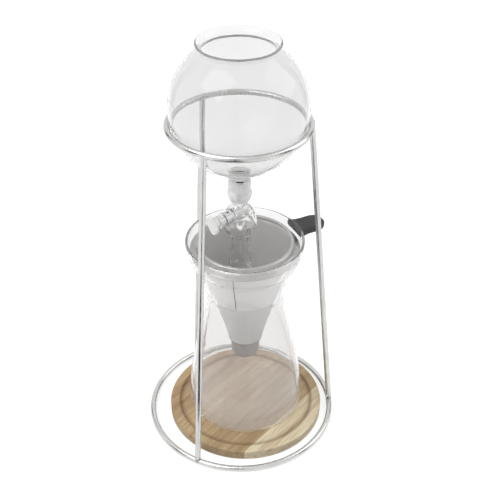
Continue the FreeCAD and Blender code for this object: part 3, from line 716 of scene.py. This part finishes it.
rubber, tree, shader = finish_of("grip_rubber", (0.028, 0.028, 0.03), 0.55)
where = object_place(tree)
bump_from(tree, shader, noise_at(tree, where, 2600.0, 2.0), 0.05, 0.5)
uneven_gloss(tree, shader, noise_at(tree, where, 160.0, 5.0), 0.48, 0.66)
grip = to_handle(lofted("grip_moulding", grip_rows()))
place(grip, "carafe_unit", "black_grip", rubber, "handle_grip")
print("grip faces", len(grip.data.polygons))

# %% [markdown]
# The stand is bent and welded from one round rod. Bright satin rod shows a pale sky
# side, a grey core and long fine draw marks. A hoop is a small circle spun round the
# axis. A leg is spun like a thin pillar and then laid along its slope, from inside
# the base hoop to inside the top one.

# %% Rod stand
ROD = 3.0
BASE_HOOP, TOP_HOOP, TOP_LEVEL = 100.0, 67.4, 359.0
FOOT, HEAD = 100.4, 67.8
HOOP_SIDES, LEG_SIDES = 24, 32

rod_steel, tree, shader = finish_of("rod_steel", (0.62, 0.62, 0.61), 0.27, 1.0)
draw_marks = noise_at(tree, object_place(tree, (1, 1, 0.02)), 900.0, 3.0)
uneven_gloss(tree, shader, draw_marks, 0.2, 0.34)
bump_from(tree, shader, draw_marks, 0.01, 0.4)
soft_stain = noise_at(tree, object_place(tree), 45.0, 4.0)
stain = ramp_of(tree, soft_stain, [(0.3, (0.56, 0.56, 0.55)), (0.7, (0.68, 0.68, 0.67))])
tree.links.new(stain, shader.inputs["Base Color"])


def hoop(name, radius, level):
    """A rod bent to a full circle."""
    last = 360 - 360 / HOOP_SIDES
    return spun(name, arc_steps((radius, level), ROD, 0, last, HOOP_SIDES - 1), 192)


def leg_rod(name, azimuth):
    """A straight rod, welded into the base hoop and into the top one."""
    run, climb = HEAD - FOOT, TOP_LEVEL - ROD
    length = math.hypot(run, climb)
    line = [(0.0, 0.0)] + finer([(ROD, 0.0), (ROD, length)], 8.0)
    line += arc_steps((0, length), ROD, 0, 90, 8)[1:]
    rod = spun(name, line, LEG_SIDES, closed=False)
    lean = Vector((run, 0, climb)).to_track_quat("Z", "Y").to_matrix().to_4x4()
    rod.data.transform(Matrix.Rotation(math.radians(azimuth), 4, "Z")
                       @ Matrix.Translation((FOOT * MM, 0, ROD * MM)) @ lean)
    return rod


place(hoop("base_hoop", BASE_HOOP, ROD), "stand", "steel_rod", rod_steel, "base_ring")
place(hoop("top_hoop", TOP_HOOP, TOP_LEVEL), "stand", "steel_rod", rod_steel, "top_ring")
for side, azimuth in (("right", 0), ("back", 120), ("front", 240)):
    rod = leg_rod("rod_leg_" + side, azimuth)
    place(rod, "stand", "steel_rod", rod_steel, "leg_" + side)
print("stand rods", 5)

# %% [markdown]
# The filter hangs in the carafe's bowl by a pressed ring, which is folded over at the
# top and slopes out to a seat flange. Below the ring a plain cone is rolled from
# sheet. It lies just outside a cone of woven wire, and both share one slope.

# %% Filter ring and plain cone
RIM_RADIUS, RIM_LEVEL = 49.8, 227.0
FLANGE_RADIUS, FLANGE_LEVEL, STEP_LEVEL = 56.0, 218.5, 221.0
RING_WALL, SHEET = 0.8, 0.6
CONE_TOP_RADIUS, CONE_TOP = 48.9, RIM_LEVEL - 0.9
CONE_END_RADIUS, CONE_END = 17.6, 104.0
SHELL_TOP, SHELL_END, SHELL_GAP = STEP_LEVEL - 1.0, 163.0, 0.75
SLOPE = (CONE_TOP_RADIUS - CONE_END_RADIUS) / (CONE_TOP - CONE_END)


def cone_radius(level):
    """The radius of the woven cone at a height."""
    return CONE_END_RADIUS + (level - CONE_END) * SLOPE


ring_steel, tree, shader = finish_of("ring_steel", (0.46, 0.455, 0.45), 0.3, 0.8)
uneven_gloss(tree, shader, noise_at(tree, object_place(tree), 140.0, 5.0), 0.24, 0.38)
flange_corners = [
    (FLANGE_RADIUS, FLANGE_LEVEL), (RIM_RADIUS + 0.4, STEP_LEVEL),
    (RIM_RADIUS, RIM_LEVEL - 0.5), (RIM_RADIUS - 0.9, RIM_LEVEL),
    (RIM_RADIUS - 3.2, RIM_LEVEL - 0.3),
]
flange_line = finer(eased(flange_corners, [2.0, 0.9, 0.6]), 1.0)
filter_ring = spun("filter_ring", walled(flange_line, RING_WALL), 192)
shift_by(filter_ring, SHIFT)
place(filter_ring, "filter_unit", "filter_steel", ring_steel, "filter_rim")

pressed_steel, tree, shader = finish_of("pressed_steel", (0.8, 0.79, 0.785), 0.42, 0.3)
where = object_place(tree)
uneven_gloss(tree, shader, noise_at(tree, where, 120.0, 5.0), 0.28, 0.42)
bump_from(tree, shader, noise_at(tree, where, 1800.0, 2.0), 0.02, 0.35)
shell_line = finer([(cone_radius(level) + SHELL_GAP, level) for level in (SHELL_END, SHELL_TOP)],
                   3.0)
plain_cone = spun("filter_plain_cone", walled(shell_line, SHEET), 192)
shift_by(plain_cone, SHIFT)
place(plain_cone, "filter_unit", "filter_steel", pressed_steel, "filter_shell")
print("filter cone slope", round(SLOPE, 4))

# %% [markdown]
# The plain cone is one sheet, and its two edges lap. The free edge stands a little
# proud and throws a thin dark line, so it is drawn as a narrow dark strip that lies
# along the cone.

# %% Lapped seam
SEAM_TURN = math.radians(-108.0)
SEAM_LOW, SEAM_HIGH, SEAM_STEPS = 165.0, 212.0, 24
SEAM_WIDTH, SEAM_PROUD, SEAM_SUNK = 0.75, 0.35, 0.1
SEAM_SECTION = ((-SEAM_SUNK, -0.5), (SEAM_PROUD, -0.4), (SEAM_PROUD, 0.4), (-SEAM_SUNK, 0.5))

seam_rows = []
for step in range(SEAM_STEPS + 1):
    level = SEAM_LOW + (SEAM_HIGH - SEAM_LOW) * step / SEAM_STEPS
    face = cone_radius(level) + SHELL_GAP + 0.01
    seam_rows.append([(face + out, share * SEAM_WIDTH, level) for out, share in SEAM_SECTION])
seam = lofted("filter_lap_seam", seam_rows, smooth=False)
seam.data.transform(Matrix.Translation((SHIFT * MM, 0, 0)) @ Matrix.Rotation(SEAM_TURN, 4, "Z"))

seam_dark, tree, shader = finish_of("seam_shadow", (0.09, 0.085, 0.08), 0.6, 0.3)
uneven_gloss(tree, shader, noise_at(tree, object_place(tree), 500.0, 3.0), 0.5, 0.75)
place(seam, "filter_unit", "filter_steel", seam_dark)
print("seam length", SEAM_HIGH - SEAM_LOW)

# %% [markdown]
# Woven wire cloth is finer than a mesh could carry, with two or three wires to the
# millimetre. The weave is drawn by two waves that cross, for colour and bump. It is
# also partly see-through, because light passes between real wires.

# %% Woven cone
BAND_LEVEL, BAND_SLANT = 900.0, 620.0
WEAVE_ALPHA = 0.6

weave, tree, shader = finish_of("woven_wire", (0.6, 0.59, 0.57), 0.55, 0.1)
shader.inputs["Alpha"].default_value = WEAVE_ALPHA
where = object_place(tree)
cross = tree.nodes.new("ShaderNodeMath")
cross.operation = "MULTIPLY"
tree.links.new(bands_at(tree, where, "Z", BAND_LEVEL), cross.inputs[0])
tree.links.new(bands_at(tree, where, "DIAGONAL", BAND_SLANT), cross.inputs[1])
cloth = ramp_of(tree, cross.outputs[0], [(0.0, (0.72, 0.705, 0.69)), (0.7, (0.97, 0.96, 0.945))])
tree.links.new(cloth, shader.inputs["Base Color"])
bump_from(tree, shader, cross.outputs[0], 0.08, 0.7)

weave_top = RIM_LEVEL - 1.2
weave_line = finer([(CONE_END_RADIUS, CONE_END), (cone_radius(weave_top), weave_top)], 2.0)
woven_cone = spun("filter_woven_cone", walled(weave_line, SHEET), 192)
shift_by(woven_cone, SHIFT)
place(woven_cone, "filter_unit", "filter_weave", weave, "filter_mesh")
print("weave rows", len(weave_line))

# %% [markdown]
# A cup drawn from thin sheet closes the cone's lower end. It has a round foot, and its
# edge opens out to take the weave. Like the weave above it, it is a little see-through.

# %% Filter cup
CUP_RADIUS, CUP_DEPTH, CUP_ROUND = 15.2, 24.5, 9.0
CUP_ALPHA = 0.8

cup_foot = CONE_END - CUP_DEPTH
cup_line = [(0.0, cup_foot)]
cup_line += arc_steps((CUP_RADIUS - CUP_ROUND, cup_foot + CUP_ROUND), CUP_ROUND, 270, 360, 10)
cup_line += [(CUP_RADIUS + 0.3, CONE_END - 3.0), (CONE_END_RADIUS + 0.4, CONE_END - 0.1)]
cup_loop = walled(finer(cup_line, 1.5), SHEET, round_first=False)
cup = spun("filter_drawn_cup", cup_loop, 128)
shift_by(cup, SHIFT)
cup_steel, tree, shader = finish_of("cup_steel", (0.36, 0.325, 0.3), 0.38, 0.5)
shader.inputs["Alpha"].default_value = CUP_ALPHA
brushed = noise_at(tree, object_place(tree, (60, 60, 900)), 1.0, 3.0)
uneven_gloss(tree, shader, brushed, 0.3, 0.46)
place(cup, "filter_unit", "filter_steel", cup_steel, "filter_cup")
print("cup depth", CUP_DEPTH)

# %% [markdown]
# The disc is turned from boards glued side by side, so the grain runs straight
# across it and changes from board to board. A noise stretched along the grain gives
# the figure, a second one the pores, and a stepped ramp picks each board's tone. A
# darker ring marks the edge of the shallow recess that the flask stands in.

# %% Wooden disc
DISC_RADIUS, DISC_THICK = 84.8, 11.4
RECESS_RADIUS, RECESS_LEVEL = 73.8, 10.4
GRAIN_TURN = math.radians(48.0)
BOARDS_HALF = 90.0 * MM
RING_INNER, RING_OUTER = 69.0 * MM, 79.0 * MM
FIGURE_TONES = [(0.25, (0.4, 0.28, 0.16)), (0.42, (0.66, 0.54, 0.36)),
                (0.58, (0.8, 0.7, 0.5)), (0.8, (0.92, 0.86, 0.7))]
BOARD_TONES = [(0.0, (1.0, 1.0, 1.0)), (0.185, (0.64, 0.54, 0.43)), (0.43, (0.72, 0.62, 0.5)),
               (0.67, (0.62, 0.5, 0.4)), (0.86, (0.7, 0.58, 0.46))]
PORE_TONES = [(0.35, (0.55, 0.5, 0.45)), (0.6, (1, 1, 1))]
RING_TONES = [(0.0, (1, 1, 1)), (0.42, (0.5, 0.42, 0.36)), (0.5, (0.45, 0.38, 0.32)),
              (0.75, (1, 1, 1))]


def along_grain(tree, scale):
    """Object coordinates turned so that X runs with the grain, and then scaled."""
    turned = object_place(tree, (1, 1, 1), (0, 0, -GRAIN_TURN))
    stretch = tree.nodes.new("ShaderNodeMapping")
    stretch.inputs["Scale"].default_value = scale
    tree.links.new(turned, stretch.inputs["Vector"])
    return stretch.outputs["Vector"]


def shaded_by(tree, base, shade, share):
    """Multiplies a colour by another, in part."""
    mix = tree.nodes.new("ShaderNodeMix")
    mix.data_type = "RGBA"
    mix.blend_type = "MULTIPLY"
    mix.inputs["Factor"].default_value = share
    tree.links.new(base, mix.inputs["A"])
    tree.links.new(shade, mix.inputs["B"])
    return mix.outputs["Result"]


wood, tree, shader = finish_of("oiled_wood", (0.4, 0.22, 0.12), 0.5)
figure = noise_at(tree, along_grain(tree, (1.0, 13.0, 13.0)), 9.0, 8.0, 0.62)
split = tree.nodes.new("ShaderNodeSeparateXYZ")
tree.links.new(along_grain(tree, (1, 1, 1)), split.inputs[0])
board_at = span_of(tree, split.outputs["Y"], -BOARDS_HALF, BOARDS_HALF, 0.0, 1.0)
boards = ramp_of(tree, board_at, BOARD_TONES)
boards.node.color_ramp.interpolation = "CONSTANT"
colour = shaded_by(tree, ramp_of(tree, figure, FIGURE_TONES), boards, 1.0)
pores = noise_at(tree, along_grain(tree, (12.0, 420.0, 420.0)), 3.0, 3.0)
colour = shaded_by(tree, colour, ramp_of(tree, pores, PORE_TONES), 0.6)
middle = object_place(tree, (1, 1, 0))
middle.node.inputs["Location"].default_value = (-SHIFT * MM, 0, 0)
reach = tree.nodes.new("ShaderNodeVectorMath")
reach.operation = "LENGTH"
tree.links.new(middle, reach.inputs[0])
ring_at = span_of(tree, reach.outputs["Value"], RING_INNER, RING_OUTER, 0.0, 1.0)
colour = shaded_by(tree, colour, ramp_of(tree, ring_at, RING_TONES), 0.8)
tree.links.new(colour, shader.inputs["Base Color"])
bump_from(tree, shader, pores, 0.05, 0.5)

disc_corners = [(0.0, 0.0), (DISC_RADIUS, 0.0), (DISC_RADIUS, DISC_THICK),
                (RECESS_RADIUS + 0.3, DISC_THICK), (RECESS_RADIUS - 0.5, RECESS_LEVEL),
                (0.0, RECESS_LEVEL)]
disc = spun("turned_disc", finer(eased(disc_corners, [1.6, 1.6, 0.5, 0.5]), 4.0), 192)
shift_by(disc, SHIFT)
place(disc, "disc", "wood", wood, "wood_disc")
print("disc radius", DISC_RADIUS)

# %% [markdown]
# The valve, its handle and seals and the sleeve have the right shapes in the CAD
# model, so those nodes are kept and only get a finish. The sleeve is frosted
# silicone with a small window in front, where the stem's black seal ring shows. The
# plug, its bush and the handle are waxy white plastic.

# %% Valve, sleeve and seals
PTFE_SCATTER, PTFE_DEPTH = 0.2, 2.0 * MM

seal_rubber, tree, shader = finish_of("seal_rubber", (0.02, 0.02, 0.02), 0.45)
bump_from(tree, shader, noise_at(tree, object_place(tree), 1500.0, 2.0), 0.02, 0.4)
ptfe, tree, shader = finish_of("waxy_ptfe", (0.8, 0.8, 0.79), 0.38)
shader.inputs["Subsurface Weight"].default_value = PTFE_SCATTER
shader.inputs["Subsurface Scale"].default_value = PTFE_DEPTH
uneven_gloss(tree, shader, noise_at(tree, object_place(tree), 300.0, 4.0), 0.33, 0.46)

DRESSED = {
    "stem_o_ring": seal_rubber, "plug_o_ring_inner": seal_rubber,
    "plug_o_ring_outer": seal_rubber, "valve_plug": ptfe, "plug_gland": ptfe,
    "valve_handle": ptfe, "valve_body": valve_glass, "neck_sleeve": frosted_silicone,
}
for node, material in DRESSED.items():
    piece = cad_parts[node]
    piece.data.materials.clear()
    piece.data.materials.append(material)
print("nodes dressed", len(DRESSED))
